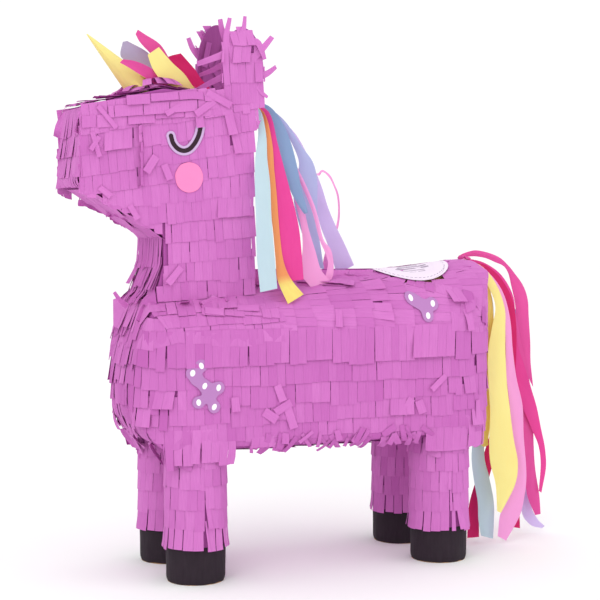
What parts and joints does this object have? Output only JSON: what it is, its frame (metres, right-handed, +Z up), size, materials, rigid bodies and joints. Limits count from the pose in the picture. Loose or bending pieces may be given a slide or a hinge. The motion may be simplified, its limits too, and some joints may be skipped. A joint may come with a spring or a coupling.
{
  "type": "unicorn pinata",
  "caption": "Standing unicorn pinata of cardboard covered in cut tissue fringe, with a paper horn, ribbon mane and tail, and a filling flap in its back.",
  "frame": {"origin": "on the floor under the middle of the object's bounding box", "axes": "+Z up; the unicorn faces -Y; its left side is +X"},
  "size_m": [0.1456, 0.4819, 0.4962],
  "materials": {
    "cardboard": "matte, uncoated",
    "purple_tissue": "matte crepe tissue",
    "hoof_paper": "matte, dark plum",
    "horn_paper": "satin card",
    "lining_paper": "matte",
    "sticker_backing": "satin, translucent look",
    "sticker_black": "satin",
    "sticker_white": "satin",
    "cheek_paper": "matte",
    "label_paper": "satin",
    "mint_tissue": "matte crepe tissue",
    "orange_tissue": "matte crepe tissue",
    "hot_pink_tissue": "matte crepe tissue",
    "blue_grey_tissue": "matte crepe tissue",
    "pale_pink_tissue": "matte crepe tissue",
    "lilac_blue_tissue": "matte crepe tissue",
    "lilac_tissue": "matte crepe tissue",
    "yellow_tissue": "matte crepe tissue",
    "crimson_tissue": "matte crepe tissue",
    "magenta_tissue": "matte crepe tissue",
    "grey_tissue": "matte crepe tissue"
  },
  "bodies": {
    "shell": {"back_arch": "cardboard", "barrel_fringe": "purple_tissue", "belly_panel": "cardboard", "cheek_dots": "cheek_paper", "chest_fringe": "purple_tissue", "chest_panel": "cardboard", "dot_ovals": "sticker_white", "dot_patches": "sticker_backing", "ear_lining": "lining_paper", "eye_lines": "sticker_black", "eye_patches": "sticker_backing", "forehead_band": "cardboard", "forelock_crimson": "crimson_tissue", "forelock_grey": "grey_tissue", "forelock_pink": "pale_pink_tissue", "forelock_rose": "hot_pink_tissue", "forelock_yellow": "yellow_tissue", "hang_plate": "cardboard", "head_fringe": "purple_tissue", "head_left_panel": "cardboard", "head_right_panel": "cardboard", "hoof_wraps": "hoof_paper", "horn": "horn_paper", "label_ring": "label_paper", "leg_fringe": "purple_tissue", "leg_soles": "cardboard", "leg_tube_front_left": "cardboard", "leg_tube_front_right": "cardboard", "leg_tube_rear_left": "cardboard", "leg_tube_rear_right": "cardboard", "muzzle_band": "cardboard", "nape_band": "cardboard", "rump_fringe": "purple_tissue", "rump_panel": "cardboard", "throat_band": "cardboard", "torso_left_side": "cardboard", "torso_right_side": "cardboard"},
    "fill_flap": {"fill_flap": "cardboard", "label_disc": "label_paper"},
    "mane": {"mane_blue_grey": "blue_grey_tissue", "mane_hot_pink": "hot_pink_tissue", "mane_knot": "purple_tissue", "mane_lilac": "lilac_tissue", "mane_lilac_blue": "lilac_blue_tissue", "mane_loop": "pale_pink_tissue", "mane_mint": "mint_tissue", "mane_orange": "orange_tissue", "mane_pale_pink": "pale_pink_tissue"},
    "tail": {"tail_crimson": "crimson_tissue", "tail_hot_pink": "hot_pink_tissue", "tail_knot": "magenta_tissue", "tail_light_pink": "pale_pink_tissue", "tail_lilac": "lilac_tissue", "tail_magenta": "magenta_tissue", "tail_mint": "mint_tissue", "tail_orange": "orange_tissue", "tail_yellow": "yellow_tissue"}
  },
  "joints": [
    {"name": "fill_flap_hinge", "type": "hinge", "parent": "shell", "child": "fill_flap", "pos_m": [-0.00675, 0.083, 0.2706], "axis": [0, -0.9956, -0.0932], "range_deg": [0, 110]},
    {"name": "mane_swing", "type": "hinge", "parent": "shell", "child": "mane", "pos_m": [0, -0.0865, 0.425], "axis": [1, 0, 0], "range_deg": [0, 45]},
    {"name": "tail_swing", "type": "hinge", "parent": "shell", "child": "tail", "pos_m": [0, 0.1415, 0.2765], "axis": [1, 0, 0], "range_deg": [0, 50]}
  ]
}
